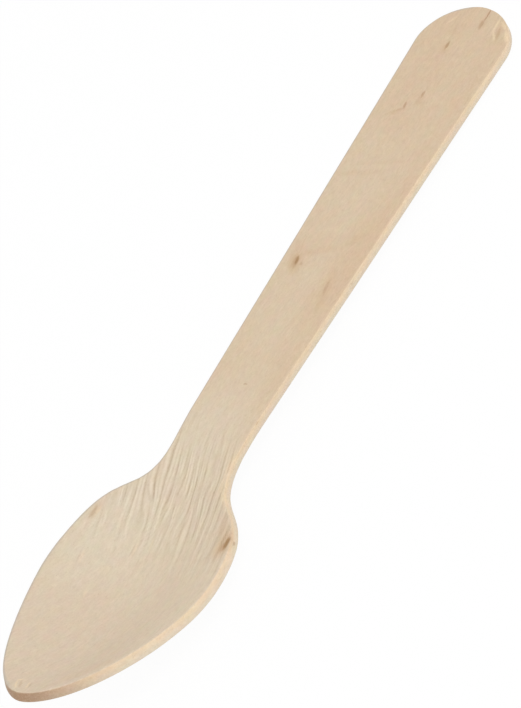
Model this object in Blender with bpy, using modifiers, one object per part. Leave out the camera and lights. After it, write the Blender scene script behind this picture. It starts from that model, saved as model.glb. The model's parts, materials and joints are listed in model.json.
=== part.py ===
# Disposable wooden spoon, stamped and pressed from one piece of birch veneer.
#
# The face of the spoon is drawn on the handle's own plane: x runs from the handle's end to the
# bowl's tip, y runs across, and z = 0 is the handle's upper face. One half of that face is a grid
# bent to the outline and to the dish. It is mirrored, given the veneer's thickness and eased at
# its edges. The spoon is then tipped until it rests as it would on a table, on the bowl's
# underside and the handle's end.
import math

import bmesh
import bpy
import numpy as np

# Lengths along the spoon, in metres
HANDLE_LENGTH = 0.1024
SHOULDER_LENGTH = 0.0289
BOWL_FRONT_LENGTH = 0.0287
HANDLE_END_ROUND = 0.0097

# Widths across the spoon
HANDLE_END_WIDTH = 0.0203
NECK_WIDTH = 0.0145
BOWL_WIDTH = 0.0354

# How far the neck runs on straight, and the bowl's side runs back, before they meet in the shoulder
NECK_FLOW = 0.0160
SHOULDER_FLOW = 0.0226

# Powers of the rounded ends: 2 is an ellipse, less is more pointed
HANDLE_END_POWER = 1.87
BOWL_TIP_LENGTH_POWER = 1.29
BOWL_TIP_WIDTH_POWER = 1.83

# Heights, from the handle's upper face
VENEER = 0.0020
BOWL_DEPTH = 0.0055
RIM_DIP = 0.0013
TIP_RISE = 0.0067

# Share of a plain parabola in the dish's section: the rest of it levels out towards the rim
DISH_OPENNESS = 0.55

# Where the press bends the veneer, measured back from the bowl's tip
BEND_TO_TIP = 0.0630
DEEPEST_TO_TIP = 0.0320
RIM_LOW_TO_TIP = 0.0450

# Ridges that the press leaves along the grain, across the neck and into the bowl
RIDGES_PER_SIDE = 8
RIDGE_HEIGHT = 0.00020
RIDGE_START_TO_TIP = 0.0600
RIDGE_END_TO_TIP = 0.0290

# Easing of the stamped edges
EDGE_EASE = 0.00020

# Share of the handle's end, from its middle line round towards its side, that the first row follows,
# and the distance over which the rows after it straighten. The bowl's tip has the same.
CAP_SHARE = 0.55
END_FADE = 0.0130

# Fineness of the grid
HANDLE_ROWS = 14
END_ROWS = 6
BOWL_ROWS = 34
OUTLINE_STEPS = 400

# Bare pale birch
BIRCH_COLOUR = (0.694, 0.546, 0.372, 1.0)
BIRCH_ROUGHNESS = 0.62

LENGTH = HANDLE_LENGTH + SHOULDER_LENGTH + BOWL_FRONT_LENGTH
COLUMNS = 2 * RIDGES_PER_SIDE


def clear_scene():
    """Remove every object, so that only the spoon is left"""
    for thing in list(bpy.data.objects):
        bpy.data.objects.remove(thing, do_unlink=True)


def smooth_step(share):
    """Rise from 0 to 1 with level ends"""
    share = np.clip(share, 0.0, 1.0)
    return share * share * (3.0 - 2.0 * share)


def handle_side(x):
    """Half width of the handle's straight taper at x"""
    taper = 0.5 * (NECK_WIDTH - HANDLE_END_WIDTH) / (HANDLE_LENGTH - HANDLE_END_ROUND)
    return 0.5 * HANDLE_END_WIDTH + taper * (x - HANDLE_END_ROUND), taper


def handle_end():
    """Rounded end of the handle, from the middle line out to its side"""
    turn = np.linspace(0.0, 0.5 * math.pi, OUTLINE_STEPS)
    power = 2.0 / HANDLE_END_POWER
    x = HANDLE_END_ROUND * (1.0 - np.cos(turn) ** power)
    side, _ = handle_side(x)
    return x, side * np.sin(turn) ** power


def shoulder():
    """Curve from the neck out to the bowl's widest place, a cubic with a pull at each end"""
    _, taper = handle_side(HANDLE_LENGTH)
    run = 1.0 / math.hypot(1.0, taper)
    start = np.array([HANDLE_LENGTH, 0.5 * NECK_WIDTH])
    stop = np.array([HANDLE_LENGTH + SHOULDER_LENGTH, 0.5 * BOWL_WIDTH])
    pull_out = start + NECK_FLOW * np.array([run, taper * run])
    pull_in = stop - np.array([SHOULDER_FLOW, 0.0])
    t = np.linspace(0.0, 1.0, OUTLINE_STEPS)[:, None]
    back = 1.0 - t
    leaving = back ** 3 * start + 3.0 * back ** 2 * t * pull_out
    arriving = 3.0 * back * t ** 2 * pull_in + t ** 3 * stop
    curve = leaving + arriving
    return curve[:, 0], curve[:, 1]


def bowl_front():
    """Egg-shaped front of the bowl, from its widest place to the tip on the middle line"""
    turn = np.linspace(0.0, 0.5 * math.pi, OUTLINE_STEPS)
    x = LENGTH - BOWL_FRONT_LENGTH * (1.0 - np.sin(turn) ** (2.0 / BOWL_TIP_LENGTH_POWER))
    return x, 0.5 * BOWL_WIDTH * np.cos(turn) ** (2.0 / BOWL_TIP_WIDTH_POWER)


def outline():
    """One half of the spoon's outline, with the distance run along it"""
    stretches = [handle_end(), shoulder(), bowl_front()]
    x = np.concatenate([stretch[0] for stretch in stretches])
    y = np.concatenate([stretch[1] for stretch in stretches])
    step = np.hypot(np.diff(x), np.diff(y))
    keep = np.concatenate([[True], step > 1e-9])
    x, y = x[keep], y[keep]
    run = np.concatenate([[0.0], np.cumsum(np.hypot(np.diff(x), np.diff(y)))])
    return x, y, run


def height_line(x, drop, lowest_to_tip):
    """Height along the spoon: level, a smooth fall to the lowest place, a parabola up to the tip"""
    bend = LENGTH - BEND_TO_TIP
    lowest = LENGTH - lowest_to_tip
    fall = smooth_step((x - bend) / (lowest - bend))
    rise = np.clip((x - lowest) / lowest_to_tip, 0.0, 1.0) ** 2
    return (drop + TIP_RISE) * rise - drop * fall


def face_height(x, y, half_width):
    """Height of the upper face: the middle line's height, rising across to the rim's in an open S"""
    middle = height_line(x, BOWL_DEPTH, DEEPEST_TO_TIP)
    rim = height_line(x, RIM_DIP, RIM_LOW_TO_TIP)
    share = np.clip(np.abs(y) / np.maximum(half_width, 1e-6), 0.0, 1.0)
    section = DISH_OPENNESS * share ** 2 + (1.0 - DISH_OPENNESS) * smooth_step(share)
    return middle + (rim - middle) * section


def ridge_height(x, across):
    """Pressed ridges: a cosine across the grain, fading at both ends, at the middle line and at the rim"""
    start = LENGTH - RIDGE_START_TO_TIP
    length = RIDGE_START_TO_TIP - RIDGE_END_TO_TIP
    along = np.sin(math.pi * np.clip((x - start) / length, 0.0, 1.0)) ** 2
    edge = np.minimum(1.0, 4.0 * (1.0 - across))
    return 0.5 * RIDGE_HEIGHT * along * edge * np.cos(2.0 * math.pi * RIDGES_PER_SIDE * across)


def row_runs(x, run):
    """Distances along the outline at which the grid's rows meet it"""
    end_cap = CAP_SHARE * np.interp(HANDLE_END_ROUND, x, run)
    end_side = np.interp(HANDLE_END_ROUND, x, run)
    bend = np.interp(LENGTH - BEND_TO_TIP, x, run)
    tip_cap = run[-1] - end_cap
    rows = [np.linspace(end_cap, end_side, END_ROWS + 1)[:-1],
            np.linspace(end_side, bend, HANDLE_ROWS + 1)[:-1],
            np.linspace(bend, tip_cap, BOWL_ROWS + 1)]
    return np.concatenate(rows)


def end_fade(distance):
    """Weight of a rounded end on the rows near it: 1 at the end, falling to 0 as a square"""
    return np.clip(1.0 - distance / END_FADE, 0.0, 1.0) ** 2


def face_points(row, across):
    """Place grid points on the face: rows run straight across, and bow into the rounded ends"""
    x, y, run = outline()
    runs = row_runs(x, run)
    here = np.interp(row * (len(runs) - 1), np.arange(len(runs)), runs)
    near = end_fade(here - runs[0])
    far = end_fade(runs[-1] - here)
    side_x = np.interp(here, run, x)
    side_y = np.interp(here, run, y)
    cap_x = np.interp(runs[0], run, x)
    tip_x = np.interp(runs[-1], run, x)
    middle_x = side_x - cap_x * near + (LENGTH - tip_x) * far
    cap_run = runs[0] * across
    tip_run = run[-1] - (run[-1] - runs[-1]) * across
    bow_near_x = np.interp(cap_run, run, x) - across * cap_x
    bow_near_y = np.interp(cap_run, run, y) - across * np.interp(runs[0], run, y)
    bow_far_x = np.interp(tip_run, run, x) - (1.0 - across) * LENGTH - across * tip_x
    bow_far_y = np.interp(tip_run, run, y) - across * np.interp(runs[-1], run, y)
    px = (1.0 - across) * middle_x + across * side_x + near * bow_near_x + far * bow_far_x
    py = across * side_y + near * bow_near_y + far * bow_far_y
    half_width = np.interp(px, x, y)
    pz = face_height(px, py, half_width) + ridge_height(px, across)
    return np.column_stack([px, py, pz])


def half_face():
    """Mesh of one half of the upper face, open along the middle line"""
    mesh = bpy.data.meshes.new("spoon")
    grid = bmesh.new()
    bmesh.ops.create_grid(grid, x_segments=HANDLE_ROWS + END_ROWS + BOWL_ROWS, y_segments=COLUMNS, size=0.5)
    grid.to_mesh(mesh)
    grid.free()
    flat = np.empty(3 * len(mesh.vertices))
    mesh.vertices.foreach_get("co", flat)
    flat = flat.reshape(-1, 3)
    points = face_points(flat[:, 0] + 0.5, flat[:, 1] + 0.5)
    mesh.vertices.foreach_set("co", points.ravel())
    mesh.update()
    return mesh


def rest_placing():
    """Tilt about y, and the shift that stands the underside on z = 0 with its middle at the origin"""
    x = np.linspace(0.0, LENGTH, 4 * OUTLINE_STEPS)
    z = height_line(x, BOWL_DEPTH, DEEPEST_TO_TIP)
    slope = np.gradient(z, x)
    under_x = x + VENEER * slope / np.hypot(1.0, slope)
    under_z = z - VENEER / np.hypot(1.0, slope)
    ahead = under_x > HANDLE_LENGTH
    tilt = math.atan(np.min((under_z[ahead] - under_z[0]) / (under_x[ahead] - under_x[0])))
    turned_x = under_x * math.cos(tilt) + under_z * math.sin(tilt)
    turned_z = under_z * math.cos(tilt) - under_x * math.sin(tilt)
    top_x = x * math.cos(tilt) + z * math.sin(tilt)
    low = min(turned_x.min(), top_x.min())
    high = max(turned_x.max(), top_x.max())
    return tilt, -0.5 * (low + high), -turned_z.min()


def birch_material():
    """Pale rotary-cut birch veneer"""
    material = bpy.data.materials.new("birch_veneer")
    material.use_nodes = True
    shader = material.node_tree.nodes["Principled BSDF"]
    shader.inputs["Base Color"].default_value = BIRCH_COLOUR
    shader.inputs["Roughness"].default_value = BIRCH_ROUGHNESS
    shader.inputs["Metallic"].default_value = 0.0
    material.diffuse_color = BIRCH_COLOUR
    return material


def add_mirror(thing):
    """Join the face's other half along the middle line"""
    mirror = thing.modifiers.new("Other half", "MIRROR")
    mirror.use_axis = (False, True, False)
    mirror.use_clip = True
    mirror.merge_threshold = 0.00001


def add_veneer(thing):
    """Give the face the veneer's thickness, below it"""
    wall = thing.modifiers.new("Veneer", "SOLIDIFY")
    wall.thickness = VENEER
    wall.offset = -1.0
    wall.use_even_offset = True


def add_edge_ease(thing):
    """Take the sharpness off the stamped edges"""
    ease = thing.modifiers.new("Eased edge", "BEVEL")
    ease.width = EDGE_EASE
    ease.segments = 1
    ease.limit_method = "ANGLE"
    ease.angle_limit = math.radians(50.0)
    ease.use_clamp_overlap = True
    ease.harden_normals = True


def build_spoon(collection):
    """The whole spoon, tipped to its rest on a table"""
    mesh = half_face()
    spoon = bpy.data.objects.new("spoon", mesh)
    collection.objects.link(spoon)
    mesh.materials.append(birch_material())
    mesh.shade_smooth()
    add_mirror(spoon)
    add_veneer(spoon)
    add_edge_ease(spoon)
    tilt, shift_x, shift_z = rest_placing()
    spoon.rotation_euler = (0.0, tilt, 0.0)
    spoon.location = (shift_x, 0.0, shift_z)
    return spoon


def main():
    """Clear the scene and build the spoon in its own collection"""
    clear_scene()
    collection = bpy.data.collections.new("wooden_spoon")
    bpy.context.scene.collection.children.link(collection)
    build_spoon(collection)
    bpy.context.view_layer.update()


main()
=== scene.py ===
import json
import math

import bpy
import numpy as np
from bpy.props import FloatProperty, FloatVectorProperty, PointerProperty
from mathutils import Matrix, Vector


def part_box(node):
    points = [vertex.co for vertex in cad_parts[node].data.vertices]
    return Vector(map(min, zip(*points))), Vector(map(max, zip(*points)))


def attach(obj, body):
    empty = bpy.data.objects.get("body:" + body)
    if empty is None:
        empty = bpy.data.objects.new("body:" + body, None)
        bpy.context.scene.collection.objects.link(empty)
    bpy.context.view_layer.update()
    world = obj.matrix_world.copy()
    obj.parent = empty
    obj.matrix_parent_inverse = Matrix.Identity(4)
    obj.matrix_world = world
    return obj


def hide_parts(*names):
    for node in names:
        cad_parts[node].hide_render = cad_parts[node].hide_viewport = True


# Looks of a disposable wooden spoon, stamped and pressed from one piece of birch veneer.
#
# The spoon is worked out on the plane of its handle: x runs from the handle's end to the bowl's tip,
# y runs across, and z is the height above the handle's upper face. A grid on the flat blank is bent to
# the dish, given its wall and underside, and then laid where the frame's own spoon lies.

bl_info = {
    "name": "Wooden spoon",
    "version": (1, 0, 0),
    "blender": (4, 5, 0),
    "location": "3D View > Sidebar > Spoon",
    "description": "Presses a disposable birch spoon and sets it on a pale table",
    "category": "Add Mesh",
}

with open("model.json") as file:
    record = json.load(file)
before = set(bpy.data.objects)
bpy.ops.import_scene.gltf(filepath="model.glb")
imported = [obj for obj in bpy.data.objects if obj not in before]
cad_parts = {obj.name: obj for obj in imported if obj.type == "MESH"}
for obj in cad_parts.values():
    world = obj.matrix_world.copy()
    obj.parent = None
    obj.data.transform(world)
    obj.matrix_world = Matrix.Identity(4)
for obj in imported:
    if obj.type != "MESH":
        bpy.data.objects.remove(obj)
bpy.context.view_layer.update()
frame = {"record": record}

NODE = "spoon"
FACE_MOUNT = "handle_face"
PIECE = "spoon_birch"

# What the mesh tells the wood at each point: its place on the flat blank in millimetres, how far the
# wall cuts across the grain, which at the tip also carries painted shade, how high the pressed ridge
# stands, as painted light on its crest and painted shade in its valley, and how near the far rim's
# painted shade is
BLANK_PLACE = "blank_place"
END_GRAIN_AND_TIP_SHADE = "end_grain_and_tip_shade"
RIDGE_PAINTED_LIGHT = "ridge_painted_light"
RIM_PAINTED_SHADE = "rim_painted_shade"

MM = 0.001
WHITE = (1.0, 1.0, 1.0)

# Fineness of the grid: rows along the spoon, columns across it, rings down its wall
END_ROWS = 16
HANDLE_ROWS = 132
BOWL_ROWS = 190
COLUMNS = 120
CORNER_RINGS = 4
WALL_RINGS = 6

# Points on each curve of the outline, and on the stretch that its widest place is averaged over
OUTLINE_STEPS = 1200
SIDE_STEPS = 25

# How far from the widest place the averaging reaches, in lengths of its half stretch
SIDE_REACH = 3.0

# Share of the handle's rounded end that the first row spans, and how far its bow carries on
CAP_SHARE = 0.55
END_FADE = 13.0 * MM

# Points of the outline nearer than the first are one, and no half width is taken as less than the second
SAME_PLACE = 1e-9
LEAST_WIDTH = 1e-6

# The face's slope is taken over this distance to each side, and this far inside the stamped outline
SLOPE_REACH = 0.05 * MM
SLOPE_INSET = 4.0 * SLOPE_REACH

# Smooth noise in the surface: its steps along and across in millimetres, its seed, and its weight. The
# weight is in ridges for the bends, in shares for the strength and the waves, and in metres for the tear.
LATTICE_CELLS = 64
NOISES = {
    "ridge_bend": (11.0, 3.4, 11, 0.45),
    "ridge_pinch": (3.2, 1.3, 12, 0.09),
    "fine_ridge_bend": (7.0, 1.6, 14, 0.90),
    "ridge_strength": (2.7, 0.80, 13, 0.75),
    "face_waves": (15.0, 6.0, 21, 1.00),
    "face_ripples": (5.0, 1.3, 22, 0.35),
    "underside_waves": (13.0, 5.0, 31, 1.00),
    "wall_tear": (1.1, 0.35, 41, 0.022 * MM),
}

# Pressed ridges: fine ones to each broad one, the broad ones' share of the depth, their mean strength,
# and their valleys' mean depth, which for a raised cosine's square is this share of the deepest
FINE_RIDGES = 2.3
BROAD_SHARE = 0.52
RIDGE_MEAN = 0.70
VALLEY_MEAN = 0.375

# Print of the ridges on the underside: how far it is moved, and its shares of their height and of their
# painted light and shade
PRINT_ALONG = 1.3 * MM
PRINT_ACROSS = -0.6 * MM
PRINT_HEIGHT = 0.45
PRINT_SHADING = 0.40

# Share of the cut grain's brown, which at the tip is also painted shade, that doesn't show away from the
# tip, and width over which the far rim's painted shade comes in
CUT_AND_SHADE_HIDDEN = 0.75
RIM_PAINTED_SHADE_WIDTH = 4.0 * MM

# Patterns of noise in the wood: waves to a millimetre along, across and down, whether they turn with
# the grain, their detail and their roughness
PATTERNS = {
    "drift": ((0.05, 0.11, 0.11), False, 2.0, 0.50),
    "ripple": ((0.30, 0.09, 0.09), True, 2.0, 0.50),
    "mottle": ((0.38, 0.50, 0.50), False, 1.5, 0.50),
    "rag": ((0.90, 2.20, 2.20), False, 3.0, 0.50),
    "streaks": ((0.10, 1.70, 1.70), True, 4.0, 0.62),
    "strokes": ((0.90, 2.60, 2.60), True, 3.0, 0.60),
    "specks": ((3.20, 3.60, 3.60), False, 2.0, 0.60),
    "patches": ((0.65, 1.30, 1.30), True, 1.0, 0.50),
    "pores": ((1.40, 5.00, 5.00), True, 1.0, 0.50),
    "layers": ((0.90, 0.90, 3.40), False, 4.0, 0.65),
    "dots": ((3.20, 3.20, 3.20), False, 2.0, 0.70),
}

# Middle of such a pattern, and how far it goes to each side
NOISE_MIDDLE = 0.5

# How much each pattern adds to the fine grain
GRAIN_WEIGHTS = {"streaks": 0.30, "strokes": 1.00, "specks": 0.90, "patches": 0.55}

# Level of their pattern at which the pores start, and at which they are full
PORE_LEVELS = (0.66, 0.76)

# Range over which the ragged pattern moves the marks' edges, along, across and down, in millimetres
RAG_REACH = (0.70, 0.32, 0.20)

# Strength on red, green and blue of the grain's darkening and lightening and of the ridges' painted light
# and shade, so that it looks grey on tan wood
GREY_SHADE = (0.86, 1.00, 1.20)

# Wall, by shares of the veneer's depth: where it comes in below the face, where it is left again above
# the underside, where the cream turns darker and greyer, and how far the layers shift that turn
WALL_TOP = (0.015, 0.11)
WALL_FOOT = (0.999, 0.93)
WALL_GREYING = (0.15, 0.95)
LAYER_SHIFT = 1.1

# End grain, with painted shade at the tip: where its brown comes in and is full, and the dots in it, as
# their contrast and their base
CUT_AND_SHADE_LEVELS = (0.20, 1.00)
CUT_DOTS = (0.9, 0.5)

# Heights of the pores and of the wall's layers, against the grain's own
PORE_HEIGHT = -0.8
LAYER_HEIGHT = 2.5

# Range of the grain, the roughness at each end of it, and the strength of the gloss
GRAIN_RANGE = (-0.35, 0.35)
ROUGHNESS = (0.70, 0.56)
GLOSS = 0.32

# Camera: height of its sensor in millimetres, and the nearest and farthest that it sees in metres
SENSOR_HEIGHT = 36.0
NEAREST = 0.01
FARTHEST = 20.0


def number(name, description, default, **kind):
    """A property for a plain number, with its unit or subtype where it has one"""
    return FloatProperty(name=name, description=description, default=default, **kind)


def length(name, description, millimetres):
    """A property for a length, given in millimetres"""
    return number(name, description, millimetres * MM, unit="LENGTH", precision=6)


def angle(name, description, degrees):
    """A property for an angle, given in degrees"""
    return number(name, description, math.radians(degrees), subtype="ANGLE")


def fraction(name, description, share):
    """A property for a share from 0 to 1"""
    return number(name, description, share, subtype="FACTOR", min=0.0, max=1.0)


def tint(name, description, *default):
    """A property for a colour, given as its red, green and blue"""
    return FloatVectorProperty(
        name=name, description=description, default=default, subtype="COLOR", size=3, min=0.0, max=1.0)


class BlankSizes(bpy.types.PropertyGroup):
    """Outline of the flat blank that is stamped from the veneer"""
    handle_length: length("Handle length", "From the handle's end to the start of the shoulder", 102.4)
    shoulder_length: length("Shoulder length", "From the neck to the bowl's widest place", 28.9)
    bowl_front_length: length("Bowl front length", "From the bowl's widest place to its tip", 28.4)
    handle_end_round: length("Handle end round", "Length of the handle's rounded end", 9.7)
    handle_end_width: length("Handle end width", "Width across the handle at its end", 20.3)
    neck_width: length("Neck width", "Width across the narrowest place", 14.5)
    bowl_width: length("Bowl width", "Width across the widest place", 35.4)
    neck_flow: length("Neck flow", "How far the neck's line runs on into the shoulder", 16.0)
    shoulder_flow: length("Shoulder flow", "How far the bowl's side runs back towards the neck", 22.6)
    handle_end_power: number("Handle end power", "Fullness of the handle's end, 2 for an ellipse", 1.87)
    tip_length_power: number("Tip length power", "Fullness of the bowl's tip along the spoon", 1.29)
    tip_width_power: number("Tip width power", "Fullness of the bowl's tip across the spoon", 1.83)
    side_softness: length("Side softness", "How far the widest place is averaged, each way", 4.0)
    veneer: length("Veneer", "Thickness of the wood", 2.0)
    spread: length("Rim spread", "How far the press spreads the rim beyond the stamped outline", 0.12)
    upper_round: length("Upper edge round", "Radius of the edge between the face and the wall", 0.26)
    lower_round: length("Lower edge round", "Radius of the edge between the wall and the underside", 0.08)


class PressSizes(bpy.types.PropertyGroup):
    """Shape that the press gives the blank"""
    bowl_depth: length("Bowl depth", "Depth of the dish below the handle's upper face", 5.5)
    rim_dip: length("Rim dip", "How far the rim sinks below the handle's upper face", 1.3)
    tip_rise: length("Tip rise", "Height of the tip above the handle's upper face", 6.7)
    dish_openness: fraction("Dish openness", "Share of a plain parabola in the dish's section", 0.55)
    bend_to_tip: length("Bend to tip", "Where the neck starts to fall, back from the tip", 63.0)
    deepest_to_tip: length("Deepest to tip", "Where the dish is deepest, back from the tip", 32.0)
    rim_low_to_tip: length("Rim low to tip", "Where the rim is lowest, back from the tip", 45.0)
    wall_lean: number("Wall lean", "Lean with the slope along, 1 for square to the face", 0.60)
    wall_flare: number("Wall flare", "Lean with the slope across, 1 for square to the face", 1.00)
    ridge_height: length("Ridge height", "Height of the ridges in the neck and the bowl", 0.140)
    ridge_pitch: length("Ridge pitch", "Distance from one pressed ridge to the next", 1.65)
    ridges_middle: length("Ridges' middle", "Their strongest place, from the handle's end", 113.0)
    ridges_reach: length("Ridges' reach", "How far the ridges reach to each side of their middle", 19.0)
    ridges_one_side: number(
        "Ridges to one side", "Gain in strength for each metre to the lamp's side", 18.0)
    ridge_skew: number("Ridge skew", "Sideways run of a ridge for each length along the spoon", 0.15)
    unevenness: length("Unevenness", "Height of the slow waves that are left in the face", 0.035)


class WoodLook(bpy.types.PropertyGroup):
    """Colours and grain of the bare birch"""
    face: tint("Face", "Plain wood of the face and the underside", 0.683, 0.538, 0.380)
    warm: tint("Warm figure", "Pinkish clouds at the handle's end and one side", 0.668, 0.500, 0.340)
    pale: tint("Pale figure", "Lighter wood of the neck and the upper bowl", 0.708, 0.603, 0.460)
    edge: tint("Edge", "Cream wood of the stamped wall, next to the face", 0.845, 0.660, 0.455)
    # Darker and greyer colour of the wall towards the underside
    lower_edge: tint("Lower edge", "Greyer wood of the wall towards the underside", 0.755, 0.640, 0.490)
    # Brown of the cut end grain, which at the tip also stands in for painted shade on the wall turned
    # away from the lamp
    end_wood_and_tip_shade: tint("End grain", "Browner wood where the wall cuts across the grain", 0.430, 0.268, 0.165)
    # Painted shade over the bowl's lower half, beside the bowl's knot and along one ridge
    painted_shade: tint("Dull figure", "Slightly darker wood of the bowl's lower half", 0.668, 0.534, 0.405)
    # The same cream also stands in for painted highlight on the tip nicks' lit edges and along the neck's
    # rim
    curl: tint("Curl", "Cream wood where fibres stand up in thin curls", 0.850, 0.665, 0.450)
    # Painted shade: a greyer line along the rim of the far side, which is turned away from the lamp
    rim_painted_shade: tint("Far rim", "Greyer line along the rim of the far side", 0.580, 0.497, 0.400)
    # The same brown also stands in for painted shadow in the tip nicks
    fleck: tint("Fleck", "Thin brown flecks, the crack and the pores", 0.410, 0.240, 0.130)
    knot: tint("Knot", "Dark heart of the pin knots", 0.345, 0.200, 0.085)
    halo: tint("Halo", "Tan wood around the knots and flecks", 0.600, 0.400, 0.235)
    grain_skew: angle("Grain skew", "Turn of the grain from the spoon's own line", 3.5)
    grain_strength: fraction("Grain strength", "How much the fine grain shades the wood", 0.110)
    mottle_strength: fraction("Mottle strength", "How much the colour drifts from place to place", 0.10)
    # Painted light on the ridges' crests and painted shade in their valleys
    ridge_strength: fraction("Ridge strength", "How much ridges lighten and their valleys darken", 0.46)
    pore_strength: fraction("Pore strength", "How dark the pores are", 0.22)
    bump_height: length("Fibre height", "Height of the fibres in the surface", 0.018)


class StageLook(bpy.types.PropertyGroup):
    """Table, light and camera"""
    aim: FloatVectorProperty(
        name="Aim", description="Point that the camera looks at",
        default=(2.411 * MM, -0.744 * MM, 5.089 * MM), subtype="TRANSLATION", size=3, unit="LENGTH",
        precision=6)
    distance: length("Distance", "From the camera to the point that it looks at", 527.9)
    azimuth: angle("Azimuth", "Direction of the camera, turned from the tip's side", 61.954)
    elevation: angle("Elevation", "Height of the camera above the table, as an angle", 44.517)
    roll: angle("Roll", "Turn of the camera about its own line of sight", 38.834)
    focal_length: number("Focal length", "Focal length in millimetres", 150.585, unit="CAMERA")
    lamp_power: number("Lamp power", "Power of the large soft lamp, in watts", 2.5, unit="POWER")
    lamp_size: length("Lamp size", "Width of the large soft lamp", 500.0)
    lamp_distance: length("Lamp distance", "From the lamp to the spoon", 900.0)
    lamp_azimuth: angle("Lamp azimuth", "Direction of the lamp, turned from the tip's side", 95.0)
    lamp_elevation: angle("Lamp elevation", "Height of the lamp above the table, as an angle", 66.0)
    fill: number("Fill", "Strength of the even light from all around", 0.73)
    table: tint("Table", "Colour of the table", 0.97, 0.97, 0.97)
    table_glow: fraction("Table whiteness", "Share of plain white in how the table looks", 0.96)
    table_size: length("Table size", "Width of the table", 4000.0)


# Marks in the wood. Each is an oval on the flat blank: its middle along, across and up from the face,
# which is below 0 in the wall, its half length, half width and half depth, all in millimetres, its turn
# in degrees from the spoon's own line, and how strong it is.
KNOTS = {
    "handle_knot": (62.55, -5.15, 0.0, 1.0, 0.28, 1.5, 12, 0.66),
    "handle_knot_dot": (63.2, -3.75, 0.0, 0.34, 0.26, 0.8, 0, 0.26),
    "bowl_knot": (119.4, 15.22, 0.0, 1.25, 0.43, 0.35, 1, 0.86),
}
FLECKS = {
    "crack_start": (1.4, 2.15, 0.0, 1.7, 0.14, 2.4, 0, 0.6),
    "crack_stop": (4.0, 2.05, 0.0, 1.0, 0.4, 0.8, 6, 0.42),
    "end_fleck": (9.9, -2.38, 0.0, 0.95, 0.28, 0.8, 0, 0.66),
    "end_fleck_tail": (6.4, -2.85, 0.0, 1.6, 0.3, 0.8, 8, 0.16),
    "middle_fleck": (21.85, -0.92, 0.0, 0.8, 0.26, 0.8, 4, 0.46),
    "upper_fleck": (25.0, -3.25, 0.0, 0.8, 0.26, 0.8, 14, 0.58),
    "upper_fleck_arm": (26.2, -3.95, 0.0, 0.8, 0.24, 0.8, -62, 0.22),
    "ring_fleck": (5.6, 6.95, 0.0, 1.4, 0.34, 0.8, 11, 0.24),
    "handle_knot_body": (62.9, -5.32, 0.0, 1.3, 0.52, 1.5, 14, 0.42),
    "side_streak": (67.0, 4.55, 0.0, 1.7, 0.32, 0.8, 10, 0.27),
    "neck_curl": (89.7, 0.5, 0.0, 0.13, 0.38, 0.6, 8, 0.5),
    "left_rim_mark": (121.0, -15.25, 0.0, 1.2, 0.28, 0.8, -4, 0.31),
    "bowl_knot_rim": (120.0, 15.05, 0.0, 1.15, 0.62, 0.4, -4, 0.5),
    "left_stroke_foot": (129.6, -12.9, 0.0, 1.2, 0.18, 0.6, 12, 0.16),
    "middle_stroke_foot": (124.4, -5.25, 0.0, 1.3, 0.17, 0.6, 2, 0.18),
    "dull_dot": (50.3, -2.35, 0.0, 0.22, 0.22, 0.6, 0, 0.16),
    "wall_dash": (118.8, 16.0, -1.0, 0.42, 0.9, 0.3, 5, 0.5),
    "neck_chip": (96.5, 8.0, -0.3, 0.55, 0.8, 0.22, 0, 0.35),
    # Painted shadow in the tip nicks, over their small real hollows
    "tip_nick_pit_and_shadow": (157.9, -1.1, 0.0, 1.0, 0.17, 0.6, 36, 0.26),
    "tip_nick_inner_pit_and_shadow": (157.5, 0.52, 0.0, 0.8, 0.16, 0.6, 28, 0.24),
}
HALOS = {
    "handle_knot": (63.1, -5.3, 0.0, 2.3, 1.3, 1.5, 20, 0.58),
    "handle_knot_tail": (60.4, -6.3, 0.0, 2.6, 0.9, 1.2, 12, 0.25),
    "bowl_knot": (119.5, 14.5, 0.0, 2.6, 1.6, 0.8, -2, 0.66),
    "bowl_knot_tail": (117.2, 12.9, 0.0, 2.6, 1.1, 0.9, 26, 0.38),
    "end_fleck": (10.5, -2.5, 0.0, 1.5, 0.6, 0.8, 0, 0.28),
    "middle_fleck": (23.2, -0.9, 0.0, 1.4, 0.7, 0.8, 0, 0.3),
    "upper_fleck": (26.8, -4.5, 0.0, 1.7, 0.55, 0.8, -60, 0.24),
    "crack": (3.6, 2.2, 0.0, 2.4, 0.8, 0.9, 0, 0.24),
    "ring": (5.9, 7.0, 0.0, 2.0, 0.62, 0.8, 14, 0.34),
    "side_streak": (67.8, 4.8, 0.0, 4.2, 0.9, 0.8, 10, 0.26),
    "left_rim": (120.9, -15.1, 0.0, 1.6, 0.6, 0.8, -4, 0.34),
    "first_band": (41.6, -4.1, 0.0, 4.4, 0.55, 0.6, 104, 0.17),
    "second_band": (38.6, -0.9, 0.0, 5.4, 0.34, 0.6, 105, 0.12),
    "third_band": (59.4, -1.1, 0.0, 4.8, 0.7, 0.6, 113, 0.19),
    "fourth_band": (55.9, 4.3, 0.0, 3.2, 0.8, 0.6, 136, 0.17),
    "tip_side": (151.0, 7.6, 0.0, 5.5, 1.2, 0.9, -36, 0.16),
}
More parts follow.
